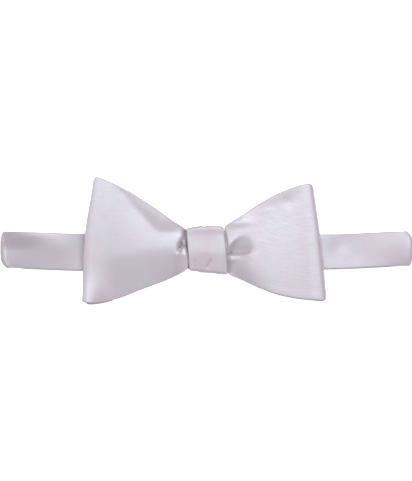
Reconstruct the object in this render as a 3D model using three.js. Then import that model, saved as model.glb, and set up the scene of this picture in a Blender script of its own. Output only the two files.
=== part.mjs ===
// A self-tie bow tie of pale satin, tied, lying on its back with its neck band pressed into a flat loop.
//
// Millimetres. X runs to the right of the bow seen from its front, Y to its upper edge, and Z out of its front.
// The origin is on the surface under the bow, at the middle of the whole tie.
//
// The tie is four pieces of lined satin. The front bow is one shaped end: a free blade on the left, gathered under the
// knot, and a loop on the right that turns back into the knot. The back bow is the other end, laid the other way round
// behind it. The knot wrap holds both gathers and the neck band. The neck band is a closed loop.
import * as THREE from "three";

// Cloth
const CLOTH = 1.5; // two layers of satin and their interlining
const LAY = 2.1; // from the middle of one layer to the middle of the next where they press together
const LOOSE_LAY = 2.3; // the same where they lie loosely

// Knot wrap
const KNOT_Y = -4.8;
const KNOT_HALF_WIDTH = 9.2;
const KNOT_LEAN = 0.145; // how far the cloth's creases beside the wrap lean for each millimetre down
const KNOT_BACK = 7.7;
const KNOT_FRONT = 24.4;
const KNOT_ROUNDNESS = 6; // exponent of the wrap's rounded section, where 2 would be an ellipse
const KNOT_DOME = 1.4; // how far the wrap's front stands out along its middle
const SIDE_GAP = 0.9; // from the wrap's sides to where the gathers have spread
// The wrap's side edges along X at KNOT_Y, how far they lean for each millimetre up, and how they bend
const KNOT_LEFT = { x: -8.65, lean: -0.107, bend: 0 };
const KNOT_RIGHT = { x: 10.45, lean: -0.118, bend: -0.0055 };
// Upper and lower edge of the wrap, by the share of the way across it from the left
const KNOT_EDGES = [
  { share: 0, top: 5.8, bottom: -14.3 },
  { share: 0.14, top: 6.5, bottom: -15.2 },
  { share: 0.36, top: 7.3, bottom: -16.0 },
  { share: 0.5, top: 7.0, bottom: -16.2 },
  { share: 0.66, top: 7.3, bottom: -16.4 },
  { share: 0.84, top: 7.2, bottom: -16.8 },
  { share: 1, top: 6.2, bottom: -16.9 },
];

// Neck band
const BAND_HALF_WIDTH = { left: 9.2, right: 8.7 };
const BAND_IN_KNOT = 5.6;
const BAND_SLOPE_X = 60; // where each side of the front stretch starts to come down to the surface
const FOLD_X = 101.7; // where each end of the flat loop starts its fold
const FOLD_RADIUS = 1.3;
const BAND_END_RECESS = { left: { top: 1.6, bottom: 3.5 }, right: { top: 3.6, bottom: 1.9 } };
const BAND_FINE_X = 16; // how far out the band is divided finely
const BAND_CURL = 3.0; // how far the left stretch curls up at its upper edge
const BACK_STRETCH_SHIFT = 0.45; // how far the back stretch lies below the front one

// Heights of the middle of each layer inside the knot, stacked from the band up
const BAND_LIFT = 12.2;
const BACK_ROOT_LIFT = BAND_LIFT + LOOSE_LAY;
const BACK_GATHER_LIFT = BACK_ROOT_LIFT + LOOSE_LAY;
const FRONT_ROOT_LIFT = BACK_GATHER_LIFT + LAY;
const FRONT_GATHER_LIFT = FRONT_ROOT_LIFT + LOOSE_LAY;

// Where each line across a wing meets its upper and its lower edge, from the knot outwards
const LEFT_WING = [
  { topX: -11.6, topY: 5.7, bottomX: -9.1, bottomY: -14.4 },
  { topX: -16.5, topY: 9.9, bottomX: -16.0, bottomY: -18.2 },
  { topX: -23.3, topY: 15.0, bottomX: -23.8, bottomY: -21.4 },
  { topX: -31.0, topY: 20.1, bottomX: -33.0, bottomY: -24.8 },
  { topX: -39.2, topY: 25.0, bottomX: -42.0, bottomY: -28.5 },
  { topX: -46.9, topY: 28.9, bottomX: -51.0, bottomY: -31.1 },
  { topX: -54.6, topY: 31.7, bottomX: -60.0, bottomY: -31.7 },
  { topX: -56.2, topY: 30.6, bottomX: -61.8, bottomY: -30.4 },
];
const RIGHT_WING = [
  { topX: 10.0, topY: 6.6, bottomX: 12.3, bottomY: -16.6 },
  { topX: 17.0, topY: 12.0, bottomX: 18.0, bottomY: -19.8 },
  { topX: 25.4, topY: 17.7, bottomX: 26.4, bottomY: -23.7 },
  { topX: 33.2, topY: 22.2, bottomX: 35.0, bottomY: -26.9 },
  { topX: 41.0, topY: 25.7, bottomX: 43.8, bottomY: -28.9 },
  { topX: 48.0, topY: 28.0, bottomX: 52.0, bottomY: -29.9 },
  { topX: 51.8, topY: 28.4, bottomX: 58.1, bottomY: -30.3 },
  { topX: 53.6, topY: 27.4, bottomX: 59.9, bottomY: -29.8 },
];
const END_BULGE = { left: 1.7, right: 0.6 }; // how far a wing's outer end bows out between its corners
const GATHER_FLARE = 0.7; // how much wider the gathers are at the knot's sides than in its middle, each way

// Relief that all layers of the wings share, by the distance outwards from the knot's edge
const CROWN = [
  { out: 0, drop: 0.9 },
  { out: 8, drop: 0.8 },
  { out: 30, drop: 0.5 },
  { out: 52, drop: 0.3 },
];
const WING_LENGTH = 52;

// Cloth that lies on the left-hand side of all of a flank's lines falls back at the slope, or rises where it is
// negative. A line runs from (x, y) to (toX, toY), and a flank fades out between two distances from the tie's middle.
const FLANKS = [
  { lines: [{ x: -12, y: -3.2, toX: -58, toY: -9.5 }], slope: 0.17, soft: 1.1, fadeFrom: 40, fadeTo: 55 },
  {
    lines: [
      { x: -40.5, y: 22.8, toX: -27, toY: 7.6 },
      { x: -27, y: 4.8, toX: -11, toY: 3.8 },
    ],
    slope: -0.24,
    soft: 0.6,
    fadeFrom: 60,
    fadeTo: 70,
  },
  { lines: [{ x: -54.6, y: 28.7, toX: -16.5, toY: 6.9 }], slope: 0.08, soft: 0.6, fadeFrom: 60, fadeTo: 70 },
  { lines: [{ x: 44, y: -24, toX: 11, toY: -10.5 }], slope: 0.17, soft: 1.1, fadeFrom: 20, fadeTo: 34 },
  { lines: [{ x: 9, y: 7, toX: 46, toY: 17 }], slope: 0.06, soft: 0.8, fadeFrom: 24, fadeTo: 36 },
];

// The deep crease that runs into the right side of the knot: its walls' widths above and below its line
const CREASE = { x: 12, y: -7.0, length: 10.5, up: 8.4, down: 5.0, depth: 1.8, farDepth: 0.7 };

// The pocket by the left side of the knot, the lip round it, a dent in the right wing, and the raised lower left corner,
// as dents with their half-lengths. A negative depth stands out.
const DENTS = [
  { x: -11.2, y: -1.4, angle: 82, long: 4.8, wide: 2.7, depth: 1.4 },
  { x: -15.2, y: -0.4, angle: 84, long: 5.5, wide: 2.4, depth: -0.4 },
  { x: 41.2, y: 21.2, angle: -35, long: 3.4, wide: 2.8, depth: 0.4 },
  { x: -61, y: -32, angle: 0, long: 9, wide: 9, depth: -0.8 },
];

// Heights of the neck band's front stretch under the bow, by the distance from the middle of the tie
const BAND_HEIGHTS = [
  { out: 0, z: BAND_LIFT },
  { out: 11, z: BAND_LIFT },
  { out: 40, z: 11.2 },
  { out: 62, z: 10.7 },
];
// Middle line of the neck band
const BAND_LINE = [
  { x: -FOLD_X, y: -4.6 },
  { x: -61, y: -5.7 },
  { x: 0, y: KNOT_Y },
  { x: 61, y: -5.5 },
  { x: FOLD_X, y: -4.1 },
];

const SATIN = { color: 0xd8d4de, roughness: 0.42, metalness: 0 };

const ease = (t) => THREE.MathUtils.smoothstep(t, 0, 1);

// Value of a table's column at a key, eased from row to row
function tableValue(table, key, column, at) {
  const last = table.length - 1;
  if (at <= table[0][key]) return table[0][column];
  if (at >= table[last][key]) return table[last][column];
  const i = table.findIndex((row) => row[key] > at);
  const share = (at - table[i - 1][key]) / (table[i][key] - table[i - 1][key]);
  return THREE.MathUtils.lerp(table[i - 1][column], table[i][column], ease(share));
}

// The value where it is above zero and else zero, rounded where it turns
const softly = (value, soft) => soft * Math.log1p(Math.exp(-Math.abs(value) / soft)) + Math.max(0, value);

// How far (x, y) lies to the left of a line
function leftOf(line, x, y) {
  const [runX, runY] = [line.toX - line.x, line.toY - line.y];
  return ((y - line.y) * runX - (x - line.x) * runY) / Math.hypot(runX, runY);
}

function crownDrop(x, y) {
  const out = Math.max(0, Math.abs(x + KNOT_LEAN * (y - KNOT_Y)) - KNOT_HALF_WIDTH);
  const middle = KNOT_Y * (1 - ease(out / WING_LENGTH));
  const half = 9 + 0.6 * out - 0.0025 * out * out;
  return tableValue(CROWN, "out", "drop", out) * Math.min(1.2, ((y - middle) / half) ** 2);
}

function flankDrop({ lines, slope, soft, fadeFrom, fadeTo }, x, y) {
  const out = Math.sign(lines[0].x) * x;
  const share = ease((out - KNOT_HALF_WIDTH) / 8) * (1 - ease((out - fadeFrom) / (fadeTo - fadeFrom)));
  const beyond = lines.map((line) => leftOf(line, x, y)).reduce((a, b) => b - softly(b - a, soft));
  return slope * softly(beyond, soft) * share;
}

function creaseDrop({ x: startX, y: startY, length, up, down, depth, farDepth }, x, y) {
  const share = (x - startX) / length;
  const above = y - startY;
  const upper = above / (up * (0.35 + 0.65 * ease(share / 0.6)));
  const lower = -above / (down * (1 + 0.6 * ease(share)));
  const wall = 1 - upper - softly(lower - upper, 0.1);
  const ends = ease((x - startX) / 5 + 1) * (1 - ease((share - 1) * 4 + 0.5));
  return THREE.MathUtils.lerp(depth, farDepth, THREE.MathUtils.clamp(share, 0, 1)) * softly(wall, 0.08) * ends;
}

function dentDrop({ x: atX, y: atY, angle, long, wide, depth }, x, y) {
  const turn = THREE.MathUtils.degToRad(angle);
  const u = (x - atX) * Math.cos(turn) + (y - atY) * Math.sin(turn);
  const v = (y - atY) * Math.cos(turn) - (x - atX) * Math.sin(turn);
  return depth * Math.exp(-((u / long) ** 2) - (v / wide) ** 2);
}

// How far the cloth at (x, y) lies behind the height of its layer
function relief(x, y) {
  const flanks = FLANKS.reduce((sum, flank) => sum + flankDrop(flank, x, y), 0);
  const dents = DENTS.reduce((sum, dent) => sum + dentDrop(dent, x, y), 0);
  return crownDrop(x, y) + flanks + creaseDrop(CREASE, x, y) + dents;
}

// A closed wall of cloth round a grid of points on its middle surface
function clothSolid(grid, closed, thickness = CLOTH) {
  const rows = grid.length;
  const columns = grid[0].length;
  const position = [];
  const index = [];
  const rowAt = (i) => grid[closed ? (i + rows) % rows : THREE.MathUtils.clamp(i, 0, rows - 1)];
  for (const side of [1, -1]) {
    for (let i = 0; i < rows; i++) {
      for (let j = 0; j < columns; j++) {
        const along = rowAt(i + 1)[j].clone().sub(rowAt(i - 1)[j]);
        const across = grid[i][Math.min(j + 1, columns - 1)].clone().sub(grid[i][Math.max(j - 1, 0)]);
        const normal = along.cross(across).normalize();
        position.push(...grid[i][j].clone().addScaledVector(normal, (side * thickness) / 2).toArray());
      }
    }
  }
  const back = rows * columns;
  const vertex = (i, j) => ((i + rows) % rows) * columns + j;
  const quad = (a, b, c, d) => index.push(a, b, c, a, c, d);
  const spans = closed ? rows : rows - 1;
  for (let i = 0; i < spans; i++) {
    for (let j = 0; j < columns - 1; j++) {
      quad(vertex(i, j), vertex(i + 1, j), vertex(i + 1, j + 1), vertex(i, j + 1));
      quad(back + vertex(i, j), back + vertex(i, j + 1), back + vertex(i + 1, j + 1), back + vertex(i + 1, j));
    }
    const end = columns - 1;
    quad(vertex(i, 0), back + vertex(i, 0), back + vertex(i + 1, 0), vertex(i + 1, 0));
    quad(vertex(i, end), vertex(i + 1, end), back + vertex(i + 1, end), back + vertex(i, end));
  }
  if (!closed) {
    const end = rows - 1;
    for (let j = 0; j < columns - 1; j++) {
      quad(vertex(0, j), vertex(0, j + 1), back + vertex(0, j + 1), back + vertex(0, j));
      quad(vertex(end, j), back + vertex(end, j), back + vertex(end, j + 1), vertex(end, j + 1));
    }
  }
  const geometry = new THREE.BufferGeometry();
  geometry.setAttribute("position", new THREE.Float32BufferAttribute(position, 3));
  geometry.setIndex(index);
  geometry.computeVertexNormals();
  return geometry;
}

// Where a side edge of the wrap is along X at a height
const knotSide = ({ x, lean, bend }, y) => x + lean * (y - KNOT_Y) + bend * (y - KNOT_Y) ** 2;

// A line across the cloth beside the wrap, to the left (-1) or right (1) of it, or inside it at its middle (0)
function knotSection(side, halfHeight, lift) {
  const at = (y) => {
    const x = side < 0 ? knotSide(KNOT_LEFT, y) : knotSide(KNOT_RIGHT, y);
    const middle = (knotSide(KNOT_LEFT, y) + knotSide(KNOT_RIGHT, y)) / 2;
    return new THREE.Vector3(side === 0 ? middle : x + side * SIDE_GAP, y, lift);
  };
  return { top: at(KNOT_Y + halfHeight), bottom: at(KNOT_Y - halfHeight) };
}

// Lines across a wing from the knot outwards. Trims draw its edges in from the outline, and puff lifts its middle.
function wingSections(wing, { knotLift, endLift, puff = 0, trimTop = 0, trimBottom = [0, 0], trimEnd = 0 }) {
  return wing.map((row, i) => {
    const out = i / (wing.length - 1);
    const lift = THREE.MathUtils.lerp(knotLift, endLift, ease(out)) + puff * Math.sin(Math.PI * out) ** 2;
    const inwards = -Math.sign(row.topX) * trimEnd * out;
    const atEdges = out < 0.5 ? 1 : Math.min(1, 2.2 * Math.sin(Math.PI * out));
    const upwards = THREE.MathUtils.lerp(...trimBottom, ease((out - 0.5) / 0.3));
    return {
      top: new THREE.Vector3(row.topX + inwards, row.topY - trimTop * atEdges, lift),
      bottom: new THREE.Vector3(row.bottomX + inwards, row.bottomY + upwards * atEdges, lift),
    };
  });
}

// Lines round the end of a loop, from its front layer to its back one
function loopTurn(inner, outermost, frontLift, backLift) {
  return [45, 90, 135].map((angle) => {
    const turned = THREE.MathUtils.degToRad(angle);
    const z = (frontLift + backLift) / 2 + ((frontLift - backLift) / 2) * Math.cos(turned);
    return {
      top: inner.top.clone().lerp(outermost.top, Math.sin(turned)).setZ(z),
      bottom: inner.bottom.clone().lerp(outermost.bottom, Math.sin(turned)).setZ(z),
    };
  });
}

// A shaped end of the tie: its free blade, the gather in the knot, a loop, and its root back in the knot
function bowEnd({ bladeWing, loopWing, blade, loopFront, loopBack, gather, root }) {
  const towardsBlade = Math.sign(bladeWing[0].topX);
  const atSides = gather.halfHeight + GATHER_FLARE;
  const front = wingSections(loopWing, loopFront);
  const back = wingSections(loopWing, loopBack);
  const outermost = front.pop();
  const turn = loopTurn(front.at(-1), outermost, loopFront.endLift, loopBack.endLift);
  back.pop();
  const sections = [
    ...wingSections(bladeWing, blade).reverse(),
    knotSection(towardsBlade, atSides, gather.lift),
    knotSection(0, gather.halfHeight, gather.lift),
    knotSection(-towardsBlade, atSides, gather.lift),
    ...front,
    ...turn,
    ...back.reverse(),
    knotSection(-towardsBlade, root.halfHeight, root.lift),
    knotSection(0, root.halfHeight, root.lift),
  ];
  const stepsPerSection = 2;
  const columns = 16;
  const bladeEnd = bladeWing.length - 1;
  const loopEnd = bladeWing.length + 2 + front.length + 1;
  const [bladeBulge, loopBulge] = towardsBlade < 0 ? [-END_BULGE.left, END_BULGE.right] : [END_BULGE.right, -END_BULGE.left];
  const top = new THREE.CatmullRomCurve3(sections.map((s) => s.top));
  const bottom = new THREE.CatmullRomCurve3(sections.map((s) => s.bottom));
  const steps = (sections.length - 1) * stepsPerSection;
  const grid = [];
  for (let i = 0; i <= steps; i++) {
    const low = bottom.getPoint(i / steps);
    const high = top.getPoint(i / steps);
    const place = i / stepsPerSection;
    const bladeShare = Math.max(0, 1 - place / bladeEnd);
    const loopShare = Math.max(0, 1 - Math.abs(place - loopEnd) / front.length);
    grid.push(
      Array.from({ length: columns + 1 }, (_, j) => {
        const share = j / columns;
        const point = low.clone().lerp(high, share);
        point.x += (bladeBulge * bladeShare + loopBulge * loopShare) * (4 * share * (1 - share)) ** 2;
        return point.setZ(point.z - relief(point.x, point.y));
      }),
    );
  }
  return clothSolid(grid, false);
}

// The wrap round the middle: a strip of cloth that goes once round the gathers and the band
function knotWrap() {
  const steps = 36;
  const columns = 6;
  const halfDepth = (KNOT_FRONT - KNOT_BACK - CLOTH) / 2;
  const middleZ = (KNOT_FRONT + KNOT_BACK) / 2;
  const rounded = (c) => Math.sign(c) * Math.abs(c) ** (2 / KNOT_ROUNDNESS);
  const grid = [];
  for (let i = 0; i < steps; i++) {
    const angle = ((i + 0.5) / steps) * 2 * Math.PI;
    grid.push(
      Array.from({ length: columns + 1 }, (_, j) => {
        const share = j / columns;
        const top = tableValue(KNOT_EDGES, "share", "top", share);
        const bottom = tableValue(KNOT_EDGES, "share", "bottom", share);
        const y = (top + bottom) / 2 + ((top - bottom - CLOTH) / 2) * rounded(Math.cos(angle));
        const z = halfDepth * rounded(Math.sin(angle));
        const bulge = (1 - 0.7 * (2 * share - 1) ** 2) * (1 - ((y - KNOT_Y - 6) / 15) ** 2);
        const dome = KNOT_DOME * bulge * Math.max(0, Math.sin(angle));
        const x = THREE.MathUtils.lerp(knotSide(KNOT_LEFT, y), knotSide(KNOT_RIGHT, y), share);
        return new THREE.Vector3(x, y, middleZ + z + dome);
      }),
    );
  }
  return clothSolid(grid, true);
}

// Stations round the flat loop: along the back, round the right end, along the front to the left, round the left end
function bandStations() {
  const backSteps = 8;
  const foldSteps = 6;
  const sideSteps = 20;
  const knotSteps = 12;
  const foldZ = CLOTH / 2 + FOLD_RADIUS;
  const stations = [];
  for (let i = 0; i < backSteps; i++) {
    stations.push({ x: FOLD_X * ((2 * i) / backSteps - 1), z: CLOTH / 2, stretch: "back" });
  }
  for (let i = 0; i < foldSteps; i++) {
    const angle = -Math.PI / 2 + (i / foldSteps) * Math.PI;
    stations.push({ x: FOLD_X + FOLD_RADIUS * Math.cos(angle), z: foldZ + FOLD_RADIUS * Math.sin(angle), stretch: "fold" });
  }
  for (let i = 0; i < 2 * sideSteps + knotSteps; i++) {
    const x = frontStation(i, sideSteps, knotSteps);
    stations.push({ x, z: bandHeight(Math.abs(x)), stretch: "front" });
  }
  for (let i = 0; i < foldSteps; i++) {
    const angle = Math.PI / 2 + (i / foldSteps) * Math.PI;
    stations.push({ x: -FOLD_X + FOLD_RADIUS * Math.cos(angle), z: foldZ + FOLD_RADIUS * Math.sin(angle), stretch: "fold" });
  }
  return stations;
}

// Where each station of the front stretch is along X, from the right: they lie closer together by the knot
function frontStation(i, sideSteps, knotSteps) {
  if (i < sideSteps) return THREE.MathUtils.lerp(FOLD_X, BAND_FINE_X, i / sideSteps);
  if (i < sideSteps + knotSteps) return BAND_FINE_X * (1 - (2 * (i - sideSteps)) / knotSteps);
  return THREE.MathUtils.lerp(-BAND_FINE_X, -FOLD_X, (i - sideSteps - knotSteps) / sideSteps);
}

// Height of the front stretch at a distance from the middle of the tie: it comes down evenly outside the bow
function bandHeight(out) {
  const underBow = tableValue(BAND_HEIGHTS, "out", "z", out);
  const end = FOLD_X - 3;
  const slope = (BAND_HEIGHTS.at(-1).z - CLOTH / 2 - 2 * FOLD_RADIUS) / (end - BAND_SLOPE_X);
  return underBow - slope * (softly(out - BAND_SLOPE_X, 1.5) - softly(out - end, 1));
}

// The neck band, drawn in where the knot grips it, its ends bowed outwards where they turn
function neckBand() {
  const columns = 8;
  const grid = bandStations().map(({ x, z, stretch }) => {
    const out = Math.abs(x);
    const front = stretch === "front" ? 1 : 0;
    const shift = stretch === "back" ? BACK_STRETCH_SHIFT * ease((FOLD_X - out) / 12) : 0;
    const middleY = tableValue(BAND_LINE, "x", "y", x) - shift;
    const gripped = front * (1 - ease((out - KNOT_HALF_WIDTH - 2.5) / 8));
    const full = THREE.MathUtils.lerp(BAND_HALF_WIDTH.left, BAND_HALF_WIDTH.right, ease(0.5 + x / 122));
    const halfWidth = THREE.MathUtils.lerp(full, BAND_IN_KNOT, gripped);
    const underWings = front * (1 - ease((out - 48) / 14));
    const curl = x < 0 ? front * BAND_CURL * Math.sin(Math.PI * THREE.MathUtils.clamp((out - 58) / 45, 0, 1) ** 1.5) : 0;
    const recess = x < 0 ? BAND_END_RECESS.left : BAND_END_RECESS.right;
    const turned = ease((out - FOLD_X + 14) / (14 + FOLD_RADIUS));
    return Array.from({ length: columns + 1 }, (_, j) => {
      const across = (2 * j) / columns - 1;
      const y = middleY + across * halfWidth;
      const bow = turned * across ** 4 * (across > 0 ? recess.top : recess.bottom);
      const height = z - underWings * relief(x, y) + curl * (((1 + across) / 2) ** 3.5 - 0.2);
      return new THREE.Vector3(x - Math.sign(x) * bow, y, height);
    });
  });
  return clothSolid(grid, true);
}

const frontBow = bowEnd({
  bladeWing: LEFT_WING,
  loopWing: RIGHT_WING,
  blade: { knotLift: FRONT_GATHER_LIFT, endLift: 19.6, puff: 0.6, trimBottom: [0, 0.6] },
  loopFront: { knotLift: FRONT_GATHER_LIFT, endLift: 19.8, puff: 0.8 },
  loopBack: { knotLift: FRONT_ROOT_LIFT, endLift: 15.4, trimTop: 0.9, trimBottom: [0.9, 0.9] },
  gather: { halfHeight: 6.0, lift: FRONT_GATHER_LIFT },
  root: { halfHeight: 7.2, lift: FRONT_ROOT_LIFT },
});

const backBow = bowEnd({
  bladeWing: RIGHT_WING,
  loopWing: LEFT_WING,
  blade: { knotLift: BACK_GATHER_LIFT, endLift: 13.2, trimTop: 1.4, trimBottom: [0.9, 0.9], trimEnd: 1.6 },
  loopFront: { knotLift: BACK_GATHER_LIFT, endLift: 16.2, trimTop: 1.2, trimBottom: [0.8, -0.2], trimEnd: 1.0 },
  loopBack: { knotLift: BACK_ROOT_LIFT, endLift: 13.0, trimTop: 2.0, trimBottom: [1.2, 0.6], trimEnd: 1.0 },
  gather: { halfHeight: 6.4, lift: BACK_GATHER_LIFT },
  root: { halfHeight: 7.2, lift: BACK_ROOT_LIFT },
});

const bowTie = new THREE.Group();
const pieces = { neck_band: neckBand(), back_bow: backBow, front_bow: frontBow, knot_wrap: knotWrap() };
for (const [name, geometry] of Object.entries(pieces)) {
  const mesh = new THREE.Mesh(geometry, new THREE.MeshStandardMaterial(SATIN));
  mesh.name = name;
  bowTie.add(mesh);
}

export default bowTie;
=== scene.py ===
"""Looks of a self-tie bow tie of pale lilac satin, tied, lying on its back with its neck band in
a flat loop.

Shapes are worked out in millimetres in the row's frame: X along the band, Y to the bow's upper
edge, Z out of its front. Every layer of cloth is a grid of points on its middle surface, lofted
between an upper and a lower edge, and gets rounded, sewn edges when it becomes a mesh. Tables by
side have the key -1 for the left and 1 for the right.
"""

import math

import bmesh
import bpy
import numpy as np
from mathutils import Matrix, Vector


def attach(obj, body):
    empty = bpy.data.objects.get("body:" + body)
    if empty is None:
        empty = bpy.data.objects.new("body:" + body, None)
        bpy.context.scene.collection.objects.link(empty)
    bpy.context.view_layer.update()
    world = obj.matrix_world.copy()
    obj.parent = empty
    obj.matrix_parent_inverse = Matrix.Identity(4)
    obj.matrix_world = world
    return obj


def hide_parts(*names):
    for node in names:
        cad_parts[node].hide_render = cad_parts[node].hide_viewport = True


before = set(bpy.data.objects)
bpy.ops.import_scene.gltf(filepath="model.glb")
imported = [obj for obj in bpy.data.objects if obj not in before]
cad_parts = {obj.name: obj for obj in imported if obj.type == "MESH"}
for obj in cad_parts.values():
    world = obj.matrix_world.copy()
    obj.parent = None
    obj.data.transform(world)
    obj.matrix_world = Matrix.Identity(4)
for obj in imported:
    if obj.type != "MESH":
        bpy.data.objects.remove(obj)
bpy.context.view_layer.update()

MM = 0.001
TINY = 1e-9  # stands in for lengths of zero in divisions

# The lined cloth: its thickness, the radius of its edges, the seam allowances that lift it a little
# along its sides and its ends, how far these take to fade out inwards and over what radius they
# fade in from the edge, and the stitches that draw it in
CLOTH = 1.2
EDGE_RADIUS = 0.6
SIDE_ALLOWANCE = dict(width=2.6, height=0.02)
END_ALLOWANCE = dict(width=3.2, height=0.05)
ALLOWANCE_FADE = 1.2
ALLOWANCE_RADIUS = 1.0
STITCHES = dict(inset=0.95, half_width=0.22, depth=0.04)

# Distances of a grid's columns from each edge. They shrink on a strip that is narrower than NARROW
# times the last one.
EDGE_STEPS = np.array([0, 0.05, 0.16, 0.32, 0.52, 0.75, 1.0, 1.3, 1.7, 2.2, 2.8, 3.4, 4.0])
NARROW = 2.6
# Rows of a bow's grid in the first two spans from its free end, in each later one, and before its
# hidden end
END_STEPS = np.array([0, 0.025, 0.08, 0.16, 0.26, 0.38, 0.52, 0.68, 0.84])
ROWS_PER_SPAN = 12
LAST_STEPS = np.array([0.1, 0.04, 0])
INNER_COLUMNS = dict(bow=40, knot=30, band=26)

# The knot: its middle along Y, half its width, how far the creases beside it lean for each
# millimetre down, the heights of its back and its front, and its rounded section
KNOT_Y = -4.8
KNOT_HALF_WIDTH = 9.2
KNOT_LEAN = 0.145
KNOT_BACK = 7.7
KNOT_FRONT = 24.4
KNOT_ROUNDNESS = 30  # exponent of the section, where 2 would be an ellipse
KNOT_HALF_HEIGHT = 11.2
KNOT_STEPS = 260  # points round the section
KNOT_TRIAL_STEPS = 20000  # points that its length is measured with
# The knot's side edges along X at KNOT_Y, how far they lean for each millimetre up, and their bend
KNOT_SIDES = {-1: dict(x=-9.05, lean=-0.082, bend=0), 1: dict(x=10.0, lean=-0.09, bend=-0.002)}
# Its upper and lower edge along Y by the share of the way across it
KNOT_TOP = [
    (0, 6.0), (0.11, 6.5), (0.22, 6.9), (0.38, 7.4), (0.51, 7.1),
    (0.62, 7.5), (0.76, 7.3), (0.87, 7.4), (0.95, 7.0), (1, 6.4),
]
KNOT_BOTTOM = [
    (0, -14.3), (0.06, -15.2), (0.18, -15.35), (0.32, -16.0),
    (0.6, -16.3), (0.8, -16.8), (1, -17.0),
]
# Its front: how far the middle stands out, what share of that the sides lack, and its slope, which
# is steeper below one height and above another. Its rims stand out on the left and fall back on
# the right.
KNOT_DOME = 1.6
KNOT_SIDE_LACK = 0.15
KNOT_SLOPE = 0.02
KNOT_FALL = dict(y=-5.9, slope=0.12, soft=0.7)
KNOT_FOLD = dict(y=3.0, slope=0.10, soft=0.6)
KNOT_RIM = dict(width=1.3, slope=0.1, soft=0.12)
# Fine creases in its front
KNOT_CREASES = [
    dict(start=(0.2, -14.6), end=(3.2, -8.2), depth=0.28),
    dict(start=(-7.0, -13.6), end=(-5.2, -8.5), depth=0.15),
    dict(start=(6.4, 6.6), end=(7.4, 1.0), depth=0.12),
]
CREASE_HALF_WIDTH = 0.7

# The gathers: their upper and lower edge where they leave the knot, how far outside its sides that
# is, and half their height and a root's in the middle of the knot
KNOT_MOUTH = {-1: (4.0, -12.6), 1: (4.6, -15.2)}
MOUTH_OUT = 0.1
GATHER_HALF_HEIGHT = 6
ROOT_HALF_HEIGHT = 7

# The distances from layer to layer in the knot, and the heights there of the band's front stretch
# and of the layers of bow over it
LAY = 2.1
LOOSE_LAY = 2.3
BAND_LIFT = 12.2
BACK_ROOT_LIFT = BAND_LIFT + LOOSE_LAY
BACK_GATHER_LIFT = BACK_ROOT_LIFT + LOOSE_LAY
FRONT_ROOT_LIFT = BACK_GATHER_LIFT + LAY
FRONT_GATHER_LIFT = FRONT_ROOT_LIFT + LOOSE_LAY

# The band: half its width and its middle line by X, and the height of its front stretch by the
# distance from the middle of the tie. Beyond BAND_SLOPE's x this comes down evenly, until a little
# past the start of its fold.
BAND_HALF_WIDTHS = [(-61, 9.2), (61, 8.7)]
BAND_LINE = [(-102, -4.6), (-61, -5.7), (0, KNOT_Y), (61, -5.5), (102, -4.1)]
BAND_HEIGHTS = [(0, BAND_LIFT), (11, BAND_LIFT), (40, 11.2), (62, 10.7)]
BAND_SLOPE = dict(x=60, soft=1.5, past_fold=0.5, fold_soft=1)
BAND_ROWS = dict(fold=17, back=90, front=180)
# Half its width where the knot grips it, how far past the knot that holds and over what length it
# widens again
BAND_GRIP = dict(half_width=5.6, past_knot=2.5, run=8)
# How far its back stretch lies lower in Y, and over what length from its folds it gets there
BAND_BACK = dict(lower=0.45, run=12)
# From where and over what length its front stretch stops following the bow's relief
UNDER_WINGS = dict(x=48, run=14)
# Its folded ends: where they start, their radius, how far their upper and lower corners are drawn
# in, and over what length
FOLD_X = {-1: 102.0, 1: 102.7}
FOLD_RADIUS = 1.3
RECESS_TOP = {-1: 1.6, 1: 3.6}
RECESS_BOTTOM = {-1: 3.5, 1: 1.9}
RECESS_RUN = 14
# Its front stretch outside the bow: on the left it curls up from just under its middle line to its
# upper edge and dips below, and on both sides it is twisted. A power above 1 moves the place where
# this is most outwards, and one below 1 inwards.
OUTSIDE = dict(x=58, run=46)
BAND_CURL = dict(height=3.6, power=2.4, start=-0.1, dip=0.15)
TWIST_SLOPE = {-1: 0.12, 1: 0.13}
TWIST_POWER = {-1: 0.6, 1: 1.1}

# Where each line across a wing meets its upper and its lower edge, from the knot outwards: top x,
# top y, bottom x, bottom y
LEFT_WING = [
    (-10.6, 6.0, -9.3, -14.2),
    (-16.5, 9.9, -16.0, -18.2),
    (-23.3, 15.0, -23.8, -21.4),
    (-31.0, 20.1, -33.0, -24.8),
    (-39.2, 25.0, -42.0, -28.5),
    (-46.9, 28.9, -51.0, -31.1),
    (-54.6, 31.7, -60.0, -31.7),
    (-56.2, 30.6, -61.9, -30.4),
]
RIGHT_WING = [
    (9.6, 7.1, 11.7, -16.9),
    (17.0, 12.0, 18.0, -19.8),
    (25.4, 17.7, 26.4, -23.7),
    (33.2, 22.2, 35.0, -26.9),
    (41.0, 25.7, 43.8, -28.9),
    (48.0, 28.0, 52.0, -29.9),
    (52.2, 28.3, 59.0, -30.3),
    (53.1, 27.2, 59.9, -29.7),
]
END_BULGE = {-1: 1.7, 1: 0.6}  # how far the outer end bows out between its corners
TURN_ANGLES = (45, 90, 135)  # of the lines round a loop's outer fold

# Low relief that every layer shares: how far edges fall back, by the distance outwards from the
# knot, and half the wing's height, from its start at the knot with a slope and a bend
CROWN = {
    -1: [(0, 0.9), (8, 0.8), (30, 0.4), (52, 0.2)],
    1: [(0, 0.9), (8, 0.7), (30, 0.25), (52, 0.1)],
}
CROWN_LIMIT = 1.2  # times the fall of the edges, for points beyond them
WING_LENGTH = 52
WING_HALF_HEIGHT = dict(start=9, slope=0.6, bend=-0.0025)

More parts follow.
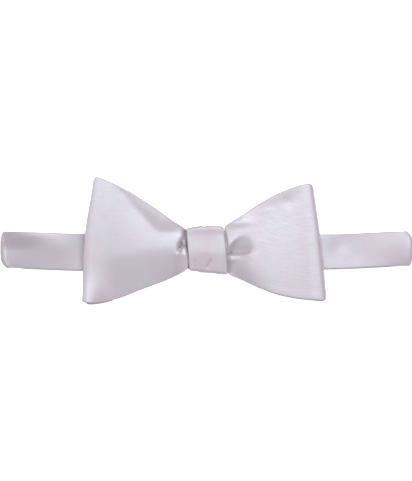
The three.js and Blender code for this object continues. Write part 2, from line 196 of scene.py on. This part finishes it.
# Where the cloth lies beyond all of a flank's lines, on their left-hand side, it falls back at the
# slope (or rises, if negative). A flank starts at the knot, reaches its full slope FLANK_RUN
# outside it, and fades out between two distances from the middle of the tie.
FLANK_RUN = 8
FLANKS = [
    dict(lines=[((-12.0, -3.2), (-58.0, -9.5))], slope=0.17, soft=1.1, fade=(45, 60)),
    dict(
        lines=[((-40.5, 22.8), (-27.0, 7.6)), ((-27.0, 4.8), (-11.0, 3.8))],
        slope=-0.28,
        soft=0.5,
        fade=(60, 70),
    ),
    dict(lines=[((-54.6, 30.1), (-16.5, 8.3))], slope=0.16, soft=0.4, fade=(34, 48)),
    dict(lines=[((44.0, -24.0), (11.0, -10.5))], slope=0.13, soft=1.1, fade=(20, 34)),
    dict(lines=[((9.0, 7.0), (46.0, 17.0))], slope=0.05, soft=0.8, fade=(24, 36)),
    dict(
        lines=[((24.0, 15.2), (46.0, 20.2)), ((22.0, 25.0), (29.0, 8.0))],
        slope=-0.08,
        soft=0.9,
        fade=(40, 48),
    ),
]

# The pocket beside the right of the knot: its deepest point, the direction that it opens in and
# how wide that is, how far its rim is there (far) and elsewhere (near), its depth, how much its
# wall flares to the rim outside a wider sector round that direction, how softly its rim turns, and
# over what length from the knot it gets all its depth
POCKET = dict(
    x=11.8, y=-6.4, towards=28, width=42, far=12.9, near=4.2, depth=3.0,
    flare=0.45, sector=60, rim=0.04, ramp=4.2,
)
# Below its y the cloth beside the pocket lies lower by a step, which comes up to nothing along X.
# Pocket and step join over a short blend.
STEP = dict(x=11, y=-7.6, length=14, depth=1.8, edge=1.6)
STEP_BLEND = 0.3

# Dents (positive depth) and small ridges (negative) in the wings, with their long and short
# half-lengths
DENTS = [
    dict(x=40.7, y=19.5, angle=-35, long=3.2, wide=2.4, depth=0.25),
    dict(x=14.5, y=9.0, angle=33, long=8.0, wide=3.2, depth=-0.35),
    dict(x=16.5, y=8.8, angle=4, long=6.5, wide=1.7, depth=-0.3),
    dict(x=29.0, y=14.7, angle=12, long=4.0, wide=1.2, depth=-0.1),
    dict(x=12.8, y=-9.2, angle=5, long=4.2, wide=1.7, depth=-0.5),
    dict(x=11.3, y=-13.5, angle=95, long=3.6, wide=1.3, depth=0.8),
    dict(x=-10.1, y=0.6, angle=98, long=6.0, wide=1.1, depth=1.1),
    dict(x=-12.6, y=-2.4, angle=74, long=2.8, wide=1.7, depth=0.5),
    dict(x=-12.0, y=-7.0, angle=0, long=3.4, wide=1.8, depth=-0.3),
    dict(x=-61.0, y=-32.0, angle=0, long=9.0, wide=9.0, depth=-1.0),
]
# A shallow dent and a low ridge in the band's front stretch, outside the bow
BAND_DENTS = [
    dict(x=65.0, y=-4.0, angle=0, long=5.0, wide=3.6, depth=0.32),
    dict(x=-70.0, y=-7.0, angle=-10, long=8.0, wide=4.0, depth=-0.15),
]
# Sharper tucks that only the foremost layer has
TUCKS = [
    dict(x=-10.1, y=1.6, angle=98, long=5.0, wide=0.7, depth=0.8),
    dict(x=-12.5, y=-2.1, angle=71, long=2.7, wide=0.85, depth=2.6),
    dict(x=-10.9, y=-2.6, angle=0, long=1.6, wide=0.8, depth=1.4),
    dict(x=10.2, y=-0.4, angle=-80, long=4.5, wide=0.4, depth=0.7),
    dict(x=11.9, y=-6.7, angle=18, long=3.0, wide=0.6, depth=0.8),
    dict(x=11.7, y=-13.6, angle=90, long=3.0, wide=0.6, depth=0.7),
    dict(x=17.5, y=-5.4, angle=5, long=5.5, wide=2.0, depth=0.6),
]

# Camera and floor. Lengths are in metres here, but for the scale and the sensor's width.
PLANE_Z = 0.017  # height of the bow's front, where the photograph's scale holds
PIXELS_HIGH = 481
MM_PER_PIXEL = 0.5
CAMERA_DISTANCE = 1.6
SENSOR_WIDTH = 36
FLOOR_HALF_WIDTH = 2.0


def ease(t):
    """From 0 to 1 as t goes from 0 to 1, starting and ending gently."""
    t = np.clip(t, 0, 1)
    return t * t * (3 - 2 * t)


def eased(table, at):
    """Value of a table of (key, value) rows at a key, eased from row to row."""
    keys, values = (np.array(c, float) for c in zip(*table))
    at = np.clip(at, keys[0], keys[-1])
    i = np.clip(np.searchsorted(keys, at, side="right") - 1, 0, len(keys) - 2)
    return values[i] + (values[i + 1] - values[i]) * ease((at - keys[i]) / (keys[i + 1] - keys[i]))


def by_side(table, x):
    """The left or the right value of a table by side, as X is negative or not."""
    return np.where(x < 0, table[-1], table[1])


def beside(line, x, y):
    """How far (x, y) is along a line from its start, and how far to the left of it."""
    (x0, y0), (x1, y1) = line
    length = math.hypot(x1 - x0, y1 - y0)
    ux, uy = (x1 - x0) / length, (y1 - y0) / length
    return (x - x0) * ux + (y - y0) * uy, (y - y0) * ux - (x - x0) * uy


def softly(value, soft):
    """The value where it is above zero and else zero, rounded where it turns."""
    return soft * np.logaddexp(0, value / soft)


def relief(x, y):
    """How far the cloth at (x, y) lies behind the height of its layer."""
    drop = crown_drop(x, y)
    for flank in FLANKS:
        drop = drop + flank_drop(flank, x, y)
    return drop + pocket(x, y) + sum(dent_drop(dent, x, y) for dent in DENTS)


def crown_drop(x, y):
    """How far the cloth falls back from a wing's middle line to its edges."""
    out = np.maximum(0, np.abs(x + KNOT_LEAN * (y - KNOT_Y)) - KNOT_HALF_WIDTH)
    middle = KNOT_Y * (1 - ease(out / WING_LENGTH))
    half = WING_HALF_HEIGHT["start"] + WING_HALF_HEIGHT["slope"] * out
    half = half + WING_HALF_HEIGHT["bend"] * out * out
    at_edges = by_side({side: eased(table, out) for side, table in CROWN.items()}, x)
    return at_edges * np.minimum(CROWN_LIMIT, ((y - middle) / half) ** 2)


def flank_drop(flank, x, y):
    """How far a flank falls back."""
    first, *others = (beside(line, x, y)[1] for line in flank["lines"])
    beyond = first
    for off in others:
        beyond = off - softly(off - beyond, flank["soft"])
    out = math.copysign(1, flank["lines"][0][0][0]) * x
    near, far = flank["fade"]
    share = ease((out - KNOT_HALF_WIDTH) / FLANK_RUN) * (1 - ease((out - near) / (far - near)))
    return flank["slope"] * softly(beyond, flank["soft"]) * share


def dent_drop(dent, x, y):
    """How far a dent falls back."""
    turn = math.radians(dent["angle"])
    u = (x - dent["x"]) * math.cos(turn) + (y - dent["y"]) * math.sin(turn)
    v = (y - dent["y"]) * math.cos(turn) - (x - dent["x"]) * math.sin(turn)
    return dent["depth"] * np.exp(-((u / dent["long"]) ** 2) - (v / dent["wide"]) ** 2)


def pocket(x, y):
    """How far the pocket and the step beside the right of the knot fall back."""
    dx, dy = x - POCKET["x"], y - POCKET["y"]
    off = (np.degrees(np.arctan2(dy, dx)) - POCKET["towards"] + 180) % 360 - 180
    opening = np.exp(-(np.abs(off / POCKET["width"]) ** 3))
    reach = POCKET["near"] + (POCKET["far"] - POCKET["near"]) * opening
    share = softly(1 - np.hypot(dx, dy) / reach, POCKET["rim"])
    sector = np.exp(-(np.abs(off / POCKET["sector"]) ** 3))
    flare = POCKET["flare"] * sector - POCKET["flare"]
    hollow = POCKET["depth"] * (share + flare * share * (1 - share))
    step = STEP["depth"] * (1 - ease((x - STEP["x"]) / STEP["length"]))
    step = step * ease((STEP["y"] - y) / STEP["edge"] + 0.5)
    deeper = (hollow + step + np.hypot(hollow - step, STEP_BLEND) - STEP_BLEND) / 2
    return deeper * ease((x - KNOT_HALF_WIDTH) / POCKET["ramp"])


def knot_side(side, y):
    """Where the knot's left or right side is along X at a height, or its middle line (side 0)."""
    if side == 0:
        return (knot_side(-1, y) + knot_side(1, y)) / 2
    edge, up = KNOT_SIDES[side], y - KNOT_Y
    return edge["x"] + edge["lean"] * up + edge["bend"] * up**2


def through(points, t):
    """Points of the smooth line through the given ones, at places t from 0 to 1."""
    points = np.asarray(points, float)
    last = len(points) - 1
    ends = np.vstack([2 * points[0] - points[1], points, 2 * points[-1] - points[-2]])
    place = np.clip(t, 0, 1) * last
    i = np.minimum(place.astype(int), last - 1)
    u = (place - i)[:, None]
    p0, p1, p2, p3 = (ends[i + k] for k in range(4))
    d0, d1, d2 = (
        np.maximum(np.linalg.norm(b - a, axis=1), TINY)[:, None] ** 0.5
        for a, b in ((p0, p1), (p1, p2), (p2, p3))
    )
    m1 = (p1 - p0) / d0 * d1 - (p2 - p0) / (d0 + d1) * d1 + (p2 - p1)
    m2 = (p2 - p1) - (p3 - p1) / (d1 + d2) * d1 + (p3 - p2) / d2 * d1
    square, cube = 3 * (p2 - p1) - 2 * m1 - m2, 2 * (p1 - p2) + m1 + m2
    return p1 + m1 * u + square * u**2 + cube * u**3


def across_shares(width, inner):
    """Shares of the way across a strip: close together by both edges, even between them."""
    edge = EDGE_STEPS * min(1, width / (NARROW * EDGE_STEPS[-1]))
    middle = np.linspace(edge[-1], width - edge[-1], inner + 2)[1:-1]
    return np.concatenate([edge, middle, (width - edge)[::-1]]) / width


def roll(distance, radius):
    """Share of its full thickness that cloth has at a distance from an edge rounded over radius."""
    return np.sqrt(np.maximum(0, 1 - (1 - np.minimum(distance, radius) / radius) ** 2))


def allowance_lift(allowance, distance):
    """How far a seam allowance lifts the cloth at a distance from its edge."""
    return allowance["height"] * (1 - ease((distance - allowance["width"]) / ALLOWANCE_FADE))


def stitch_drop(distance):
    """How far the stitches draw the cloth in at a distance from its edge."""
    off = (distance - STITCHES["inset"]) / STITCHES["half_width"]
    return STITCHES["depth"] * np.exp(-(off**2))


def half_thickness(side, end=None):
    """Half the thickness of cloth by the distances from its sides and, if it has any, its ends."""
    half = CLOTH / 2 * roll(side, EDGE_RADIUS)
    raised = allowance_lift(SIDE_ALLOWANCE, side) - stitch_drop(side)
    if end is None:
        return half + raised * roll(side, ALLOWANCE_RADIUS)
    half = half * roll(end, EDGE_RADIUS)
    raised = np.maximum(raised, allowance_lift(END_ALLOWANCE, end)) - stitch_drop(end)
    return half + raised * roll(side, ALLOWANCE_RADIUS) * roll(end, ALLOWANCE_RADIUS)


def normals(grid, closed):
    """Directions out of the front of a grid."""
    if closed:
        before, after = np.roll(grid, 1, 0), np.roll(grid, -1, 0)
    else:
        before = np.concatenate([grid[:1], grid[:-1]])
        after = np.concatenate([grid[1:], grid[-1:]])
    left = np.concatenate([grid[:, :1], grid[:, :-1]], 1)
    right = np.concatenate([grid[:, 1:], grid[:, -1:]], 1)
    normal = np.cross(after - before, right - left)
    return normal / np.maximum(np.linalg.norm(normal, axis=2, keepdims=True), TINY)


def cloth(name, grid, closed):
    """A piece of lined cloth round a grid of points on its middle surface: rows along it, columns
    across it. Its front and its back share the points of its edges."""
    rows, columns, _ = grid.shape
    widths = np.linalg.norm(np.diff(grid, axis=1), axis=2)
    across = np.concatenate([np.zeros((rows, 1)), np.cumsum(widths, 1)], 1)
    side = np.minimum(across, across[:, -1:] - across)
    lengths = np.linalg.norm(np.roll(grid, -1, 0) - grid, axis=2)
    along = np.concatenate([np.zeros((1, columns)), np.cumsum(lengths, 0)])
    end = None if closed else np.minimum(along[:rows], along[rows - 1] - along[:rows])
    offset = normals(grid, closed) * half_thickness(side, end)[..., None]
    vertices = np.concatenate([(grid + offset).reshape(-1, 3), (grid - offset).reshape(-1, 3)])

    front = np.arange(rows * columns).reshape(rows, columns)
    back = front + rows * columns
    back[:, 0], back[:, -1] = front[:, 0], front[:, -1]
    if not closed:
        back[0], back[-1] = front[0], front[-1]
    row = np.arange(rows if closed else rows - 1)[:, None]
    column = np.arange(columns - 1)[None, :]
    ahead = (row + 1) % rows
    # A quad's corners: row and column in the grid, and row in the distances along it
    corners = [
        (row, column, row),
        (ahead, column, row + 1),
        (ahead, column + 1, row + 1),
        (row, column + 1, row),
    ]
    far = along.mean(1)
    faces, uv = [], []
    for numbers, order in ((front, corners), (back, corners[::-1])):
        faces.append(np.stack([numbers[i, j] for i, j, _ in order], -1).reshape(-1, 4))
        u = np.stack([across[i, j] for i, j, _ in order], -1)
        v = np.stack([np.broadcast_to(far[k], u.shape[:2]) for _, _, k in order], -1)
        uv.append(np.stack([u, v], -1).reshape(-1, 2))

    mesh = bpy.data.meshes.new(name)
    mesh.from_pydata((vertices * MM).tolist(), [], np.concatenate(faces).tolist())
    layer = mesh.uv_layers.new(name="Cloth")
    layer.data.foreach_set("uv", (np.concatenate(uv) * MM).astype(np.float32).ravel())
    piece = bpy.data.objects.new(name, mesh)
    bpy.context.scene.collection.objects.link(piece)
    bm = bmesh.new()
    bm.from_mesh(mesh)
    bmesh.ops.delete(bm, geom=[v for v in bm.verts if not v.link_faces], context="VERTS")
    bm.to_mesh(mesh)
    bm.free()
    mesh.shade_smooth()
    return piece


def knot_section(side, top, bottom, lift):
    """The ends of a line across the cloth at the knot's left or right side, or in its middle."""
    return tuple((knot_side(side, y) + side * MOUTH_OUT, y, lift) for y in (top, bottom))


def wing_sections(wing, knot_lift, end_lift, puff=0, trim_top=0, trim_bottom=(0, 0), trim_end=0):
    """Lines across a wing from the knot outwards. Puff lifts it halfway out, and trim_end draws its
    outer end in. The other trims draw in its upper and lower edge: by half at the knot, fully from
    a third of the way out, and not at all at the end. The lower one goes from its first value to
    its second between half and four fifths of the way."""
    sections = []
    for i, (top_x, top_y, bottom_x, bottom_y) in enumerate(wing):
        out = i / (len(wing) - 1)
        drawn_in = trim_bottom[0] + (trim_bottom[1] - trim_bottom[0]) * ease((out - 0.5) / 0.3)
        lift = knot_lift + (end_lift - knot_lift) * ease(out)
        lift = lift + puff * math.sin(math.pi * out) ** 2
        inwards = -math.copysign(1, top_x) * trim_end * out
        if out < 0.5:
            trimmed = 0.5 + 0.5 * ease(3 * out)
        else:
            trimmed = min(1, 2.2 * math.sin(math.pi * out))
        upper, lower = top_y - trim_top * trimmed, bottom_y + drawn_in * trimmed
        sections.append(((top_x + inwards, upper, lift), (bottom_x + inwards, lower, lift)))
    return sections


def loop_turn(inner, outermost, front_lift, back_lift):
    """Lines round the outer fold of a loop, from its front to its back."""
    half_gap = (front_lift - back_lift) / 2
    turn = []
    for angle in TURN_ANGLES:
        section = inner + (outermost - inner) * math.sin(math.radians(angle))
        section[:, 2] = front_lift - half_gap * (1 - math.cos(math.radians(angle)))
        turn.append(section)
    return turn


def bow_end(blade_wing, loop_wing, blade, loop_front, loop_back, gather, root, tucks=()):
    """A shaped end of the tie: its free blade, the gather in the knot, a loop, and its root back
    in the knot."""
    blade_side = int(math.copysign(1, blade_wing[0][0]))
    front, back = wing_sections(loop_wing, **loop_front), wing_sections(loop_wing, **loop_back)
    outermost, inner = np.array(front.pop()), np.array(front[-1])
    back.pop()
    sections = [
        *wing_sections(blade_wing, **blade)[::-1],
        knot_section(blade_side, *KNOT_MOUTH[blade_side], gather),
        knot_section(0, KNOT_Y + GATHER_HALF_HEIGHT, KNOT_Y - GATHER_HALF_HEIGHT, gather),
        knot_section(-blade_side, *KNOT_MOUTH[-blade_side], gather),
        *front,
        *loop_turn(inner, outermost, loop_front["end_lift"], loop_back["end_lift"]),
        *back[::-1],
        knot_section(-blade_side, *KNOT_MOUTH[-blade_side], root),
        knot_section(0, KNOT_Y + ROOT_HALF_HEIGHT, KNOT_Y - ROOT_HALF_HEIGHT, root),
    ]
    spans = len(sections) - 1
    inner_places = np.arange(2, spans, 1 / ROWS_PER_SPAN)
    places = np.concatenate([END_STEPS, 1 + END_STEPS, inner_places, spans - LAST_STEPS])
    top = through([s[0] for s in sections], places / spans)
    bottom = through([s[1] for s in sections], places / spans)
    blade_rows = len(blade_wing)
    turn_row = blade_rows + 3 + len(front)  # where the loop starts its outer fold
    grid = []
    for place, low, high in zip(places, bottom, top):
        shares = across_shares(np.linalg.norm(high - low), INNER_COLUMNS["bow"])[:, None]
        points = low + (high - low) * shares
        if place < blade_rows:
            bulge = blade_side * END_BULGE[blade_side] * (1 - place / (blade_rows - 1))
        else:
            near_turn = max(0, 1 - abs(place - turn_row) / len(front))
            bulge = -blade_side * END_BULGE[-blade_side] * near_turn
        points[:, 0] += bulge * ((4 * shares * (1 - shares)) ** 2)[:, 0]
        points[:, 2] -= relief(points[:, 0], points[:, 1])
        if place < turn_row - 2:
            points[:, 2] -= sum(dent_drop(tuck, points[:, 0], points[:, 1]) for tuck in tucks)
        grid.append(points)
    return np.array(grid)


def knot_ring(half_depth):
    """Points round the knot's section, evenly apart: shares of its half height and half depth."""
    angle = np.linspace(-0.5 * math.pi, 1.5 * math.pi, KNOT_TRIAL_STEPS)
    ups, outs = (
        np.sign(c) * np.abs(c) ** (2 / KNOT_ROUNDNESS) for c in (np.cos(angle), np.sin(angle))
    )
    steps = np.hypot(KNOT_HALF_HEIGHT * np.diff(ups), half_depth * np.diff(outs))
    length = np.concatenate([[0], np.cumsum(steps)])
    evenly = np.linspace(0, length[-1], KNOT_STEPS + 1)[:-1]
    return zip(np.interp(evenly, length, ups), np.interp(evenly, length, outs))


def knot_bulge(shares, y):
    """How far the knot's front stands out, and how much further its rims do."""
    width = 2 * KNOT_HALF_WIDTH
    left, right = (
        softly(KNOT_RIM["width"] - width * inwards, KNOT_RIM["soft"])
        for inwards in (shares, 1 - shares)
    )
    rim = KNOT_RIM["slope"] * (left - right)
    bulge = KNOT_DOME * (1 - KNOT_SIDE_LACK * (2 * shares - 1) ** 2) + KNOT_SLOPE * y
    bulge = bulge - KNOT_FALL["slope"] * softly(KNOT_FALL["y"] - y, KNOT_FALL["soft"])
    bulge = bulge + KNOT_FOLD["slope"] * softly(y - KNOT_FOLD["y"], KNOT_FOLD["soft"])
    return bulge, rim


def knot_wrap():
    """The strip that goes once round the middle."""
    half_depth = (KNOT_FRONT - KNOT_BACK - CLOTH) / 2
    middle_z = (KNOT_FRONT + KNOT_BACK) / 2
    shares = across_shares(2 * KNOT_HALF_WIDTH, INNER_COLUMNS["knot"])
    top, bottom = eased(KNOT_TOP, shares), eased(KNOT_BOTTOM, shares)
    grid = []
    for up, out in knot_ring(half_depth):
        y = (top + bottom) / 2 + ((top - bottom) / 2 - CLOTH / 2) * up
        x = knot_side(-1, y) + (knot_side(1, y) - knot_side(-1, y)) * shares
        bulge, rim = knot_bulge(shares, y)
        z = half_depth * out + (bulge - knot_creases(x, y) + rim) * max(0, out)
        grid.append(np.stack([x, y, middle_z + z], -1))
    return np.array(grid)


def knot_creases(x, y):
    """How deep the fine creases in the knot's front are."""
    drop = 0 * x
    for crease in KNOT_CREASES:
        start, end = crease["start"], crease["end"]
        along, off = beside((start, end), x, y)
        share = along / math.dist(start, end)
        depth = crease["depth"] * np.exp(-((off / CREASE_HALF_WIDTH) ** 2))
        drop = drop + depth * ease(4 * share) * ease(2.5 * (1 - share))
    return drop


def band_height(out, fold_x):
    """Height of the band's front stretch at a distance from the middle of the tie: outside the bow
    it comes down evenly."""
    fold_end = BAND_SLOPE["past_fold"]
    run = softly(out - BAND_SLOPE["x"], BAND_SLOPE["soft"])
    run = run - softly(out - fold_x - fold_end, BAND_SLOPE["fold_soft"])
    whole_run = fold_x - BAND_SLOPE["x"] - softly(-fold_end, BAND_SLOPE["fold_soft"])
    fall = BAND_HEIGHTS[-1][1] - CLOTH / 2 - 2 * FOLD_RADIUS
    return eased(BAND_HEIGHTS, out) - fall * run / whole_run


def neck_band():
    """The closed loop of the band: along the back, round the right end, along the front to the
    left, round the left end."""
    turn = np.linspace(-math.pi / 2, math.pi / 2, BAND_ROWS["fold"])[:-1]
    back_x = np.linspace(-FOLD_X[-1], FOLD_X[1], BAND_ROWS["back"])[:-1]
    front_x = np.linspace(FOLD_X[1], -FOLD_X[-1], BAND_ROWS["front"])[:-1]
    right_x = FOLD_X[1] + FOLD_RADIUS * np.cos(turn)
    left_x = -FOLD_X[-1] - FOLD_RADIUS * np.cos(turn)
    x = np.concatenate([back_x, right_x, front_x, left_x])
    fold_z = CLOTH / 2 + FOLD_RADIUS
    fold = FOLD_RADIUS * np.sin(turn)
    front_z = band_height(np.abs(front_x), by_side(FOLD_X, front_x))
    z = np.concatenate([CLOTH / 2 + 0 * back_x, fold_z + fold, front_z, fold_z - fold])
    front = np.concatenate([0 * back_x, 0 * turn, 0 * front_x + 1, 0 * turn])
    back = np.concatenate([0 * back_x + 1, 0 * turn, 0 * front_x, 0 * turn])

    out, fold_x = np.abs(x), by_side(FOLD_X, x)
    lower = BAND_BACK["lower"] * back * ease((fold_x - out) / BAND_BACK["run"])
    middle_y = eased(BAND_LINE, x) - lower
    past_knot = out - KNOT_HALF_WIDTH - BAND_GRIP["past_knot"]
    gripped = front * (1 - ease(past_knot / BAND_GRIP["run"]))
    half_width = eased(BAND_HALF_WIDTHS, x)
    half_width = half_width + (BAND_GRIP["half_width"] - half_width) * gripped
    under_wings = front * (1 - ease((out - UNDER_WINGS["x"]) / UNDER_WINGS["run"]))
    outside = np.clip((out - OUTSIDE["x"]) / OUTSIDE["run"], 0, 1)
    curl = front * (x < 0) * BAND_CURL["height"]
    curl = curl * np.sin(math.pi * outside ** BAND_CURL["power"])
    twist = by_side(TWIST_SLOPE, x) * np.sin(math.pi * outside ** by_side(TWIST_POWER, x))
    twist = front * twist
    turned = ease((out - fold_x + RECESS_RUN) / (RECESS_RUN + FOLD_RADIUS))
    recess_top, recess_bottom = by_side(RECESS_TOP, x), by_side(RECESS_BOTTOM, x)
    start = BAND_CURL["start"]
    grid = []
    for i in range(len(x)):
        across = 2 * across_shares(2 * half_width[i], INNER_COLUMNS["band"]) - 1
        y = middle_y[i] + across * half_width[i]
        bow = turned[i] * across**4 * np.where(across > 0, recess_top[i], recess_bottom[i])
        curled = curl[i] * (ease((across - start) / (1 - start)) - BAND_CURL["dip"])
        curled = curled - twist[i] * across * half_width[i]
        dents = front[i] * sum(dent_drop(dent, x[i], y) for dent in BAND_DENTS)
        height = z[i] - under_wings[i] * relief(x[i] + 0 * y, y) + curled - dents
        grid.append(np.stack([x[i] - math.copysign(1, x[i]) * bow, y, height], -1))
    return np.array(grid)


def set_inputs(node, values):
    """Sets a node's inputs by name."""
    for name, value in values.items():
        node.inputs[name].default_value = value


def new_node(nodes, kind, values):
    """A new node with its inputs set."""
    node = nodes.new(kind)
    set_inputs(node, values)
    return node


def satin_material():
    """Pale lilac satin with faint patches of mauve, cool where it shines, of long fine threads."""
    material = bpy.data.materials.new("satin")
    material.use_nodes = True
    nodes, links = material.node_tree.nodes, material.node_tree.links
    shader = nodes["Principled BSDF"]
    set_inputs(shader, {
        "Roughness": 0.42,
        "Anisotropic": 0.3,
        "Sheen Weight": 0.15,
        "Sheen Roughness": 0.4,
        "Sheen Tint": (0.93, 0.95, 1.0, 1),
        "Specular IOR Level": 1.0,
        "IOR": 1.6,
        "Specular Tint": (0.86, 0.96, 1.0, 1),
    })
    uv = nodes.new("ShaderNodeUVMap")
    uv.uv_map = "Cloth"
    place = nodes.new("ShaderNodeTexCoord")

    patches = {"Scale": 55, "Detail": 6, "Roughness": 0.72}
    tint = new_node(nodes, "ShaderNodeTexNoise", patches)
    links.new(place.outputs["Object"], tint.inputs["Vector"])
    colour = nodes.new("ShaderNodeValToRGB")
    mauve, lilac = colour.color_ramp.elements
    mauve.position, mauve.color = 0.35, (0.486, 0.382, 0.438, 1)
    lilac.position, lilac.color = 0.65, (0.452, 0.424, 0.470, 1)
    links.new(tint.outputs["Fac"], colour.inputs["Fac"])
    links.new(colour.outputs["Color"], shader.inputs["Base Color"])

    stretch = new_node(nodes, "ShaderNodeMapping", {"Scale": (1500, 160, 1)})
    links.new(uv.outputs["UV"], stretch.inputs["Vector"])
    threads = new_node(nodes, "ShaderNodeTexNoise", {"Scale": 1, "Detail": 2})
    links.new(stretch.outputs["Vector"], threads.inputs["Vector"])
    gloss = new_node(nodes, "ShaderNodeMapRange", {"To Min": 0.32, "To Max": 0.54})
    links.new(threads.outputs["Fac"], gloss.inputs["Value"])
    links.new(gloss.outputs["Result"], shader.inputs["Roughness"])
    bump = new_node(nodes, "ShaderNodeBump", {"Strength": 0.4, "Distance": 0.0001})
    links.new(threads.outputs["Fac"], bump.inputs["Height"])
    links.new(bump.outputs["Normal"], shader.inputs["Normal"])
    return material


def plain_floor():
    """A pale floor that doesn't shine."""
    mesh = bpy.data.meshes.new("floor")
    half = FLOOR_HALF_WIDTH
    corners = [(-half, -half, 0), (half, -half, 0), (half, half, 0), (-half, half, 0)]
    mesh.from_pydata(corners, [], [(0, 1, 2, 3)])
    floor = bpy.data.objects.new("floor", mesh)
    bpy.context.scene.collection.objects.link(floor)
    material = bpy.data.materials.new("floor")
    material.use_nodes = True
    set_inputs(material.node_tree.nodes["Principled BSDF"], {
        "Base Color": (0.95, 0.95, 0.95, 1),
        "Roughness": 1.0,
        "Specular IOR Level": 0.0,
        "Emission Color": (1, 1, 1, 1),
        "Emission Strength": 0.7,
    })
    mesh.materials.append(material)


def softbox(name, place, size, power, colour):
    """A square soft light that is aimed at the middle of the tie."""
    data = bpy.data.lights.new(name, "AREA")
    data.shape = "SQUARE"
    data.size = size
    data.energy = power
    data.color = colour
    light = bpy.data.objects.new(name, data)
    light.location = place
    light.rotation_euler = (Vector() - Vector(place)).to_track_quat("-Z", "Y").to_euler()
    bpy.context.scene.collection.objects.link(light)


def studio_world():
    """A faint, even light from all round."""
    world = bpy.data.worlds.new("studio")
    bpy.context.scene.world = world
    world.use_nodes = True
    background = world.node_tree.nodes["Background"]
    set_inputs(background, {"Color": (1.0, 0.99, 1.0, 1), "Strength": 0.15})


def camera_above():
    """The camera, straight above the tie, with the photograph's scale at the bow's front."""
    data = bpy.data.cameras.new("camera")
    data.sensor_width = SENSOR_WIDTH
    height = PIXELS_HIGH * MM_PER_PIXEL * MM
    data.lens = SENSOR_WIDTH * (CAMERA_DISTANCE - PLANE_Z) / height
    camera = bpy.data.objects.new("camera", data)
    camera.location = (0, 0, CAMERA_DISTANCE)
    bpy.context.scene.collection.objects.link(camera)
    return camera


SATIN = satin_material()

front_bow = bow_end(
    LEFT_WING,
    RIGHT_WING,
    blade=dict(knot_lift=FRONT_GATHER_LIFT, end_lift=19.6, puff=0.6, trim_bottom=(0, 0.6)),
    loop_front=dict(knot_lift=FRONT_GATHER_LIFT, end_lift=18.9, puff=0.8, trim_bottom=(0.4, 0.4)),
    loop_back=dict(knot_lift=FRONT_ROOT_LIFT, end_lift=16.1, trim_top=0.9),
    gather=FRONT_GATHER_LIFT,
    root=FRONT_ROOT_LIFT,
    tucks=TUCKS,
)
back_bow = bow_end(
    RIGHT_WING,
    LEFT_WING,
    blade=dict(
        knot_lift=BACK_GATHER_LIFT, end_lift=13.2,
        trim_top=1.4, trim_bottom=(0.9, 0.9), trim_end=1.6,
    ),
    loop_front=dict(
        knot_lift=BACK_GATHER_LIFT, end_lift=16.2,
        trim_top=1.2, trim_bottom=(0.8, -0.2), trim_end=1.0,
    ),
    loop_back=dict(
        knot_lift=BACK_ROOT_LIFT, end_lift=13.0,
        trim_top=2.0, trim_bottom=(1.2, 0.6), trim_end=1.0,
    ),
    gather=BACK_GATHER_LIFT,
    root=BACK_ROOT_LIFT,
)

# The visual pieces, the solids that they stand for, and their flat sizes in metres
PIECES = [
    dict(
        name="front_bow_satin", node="front_bow", grid=front_bow, closed=False,
        flat=(0.063, 0.20), area=0.0096, held="gathered",
    ),
    dict(
        name="back_bow_satin", node="back_bow", grid=back_bow, closed=False,
        flat=(0.063, 0.19), area=0.0094, held="gathered",
    ),
    dict(
        name="knot_satin", node="knot_wrap", grid=knot_wrap(), closed=True,
        flat=(0.0192, 0.075), area=None, held="folded",
    ),
    dict(
        name="band_satin", node="neck_band", grid=neck_band(), closed=True,
        flat=(0.0178, 0.414), area=None, held="folded",
    ),
]
for entry in PIECES:
    piece = cloth(entry["name"], entry["grid"], closed=entry["closed"])
    piece.data.materials.append(SATIN)
    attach(piece, "root")
    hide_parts(entry["node"])

plain_floor()
softbox("key", place=(0.2, 0.62, 2.1), size=1.0, power=34.5, colour=(0.94, 0.965, 1.0))
softbox("fill", place=(0, 0, 2.2), size=2.2, power=20, colour=(1.0, 0.99, 1.0))
studio_world()
bpy.context.scene.camera = camera_above()
bpy.context.scene.view_settings.view_transform = "Standard"
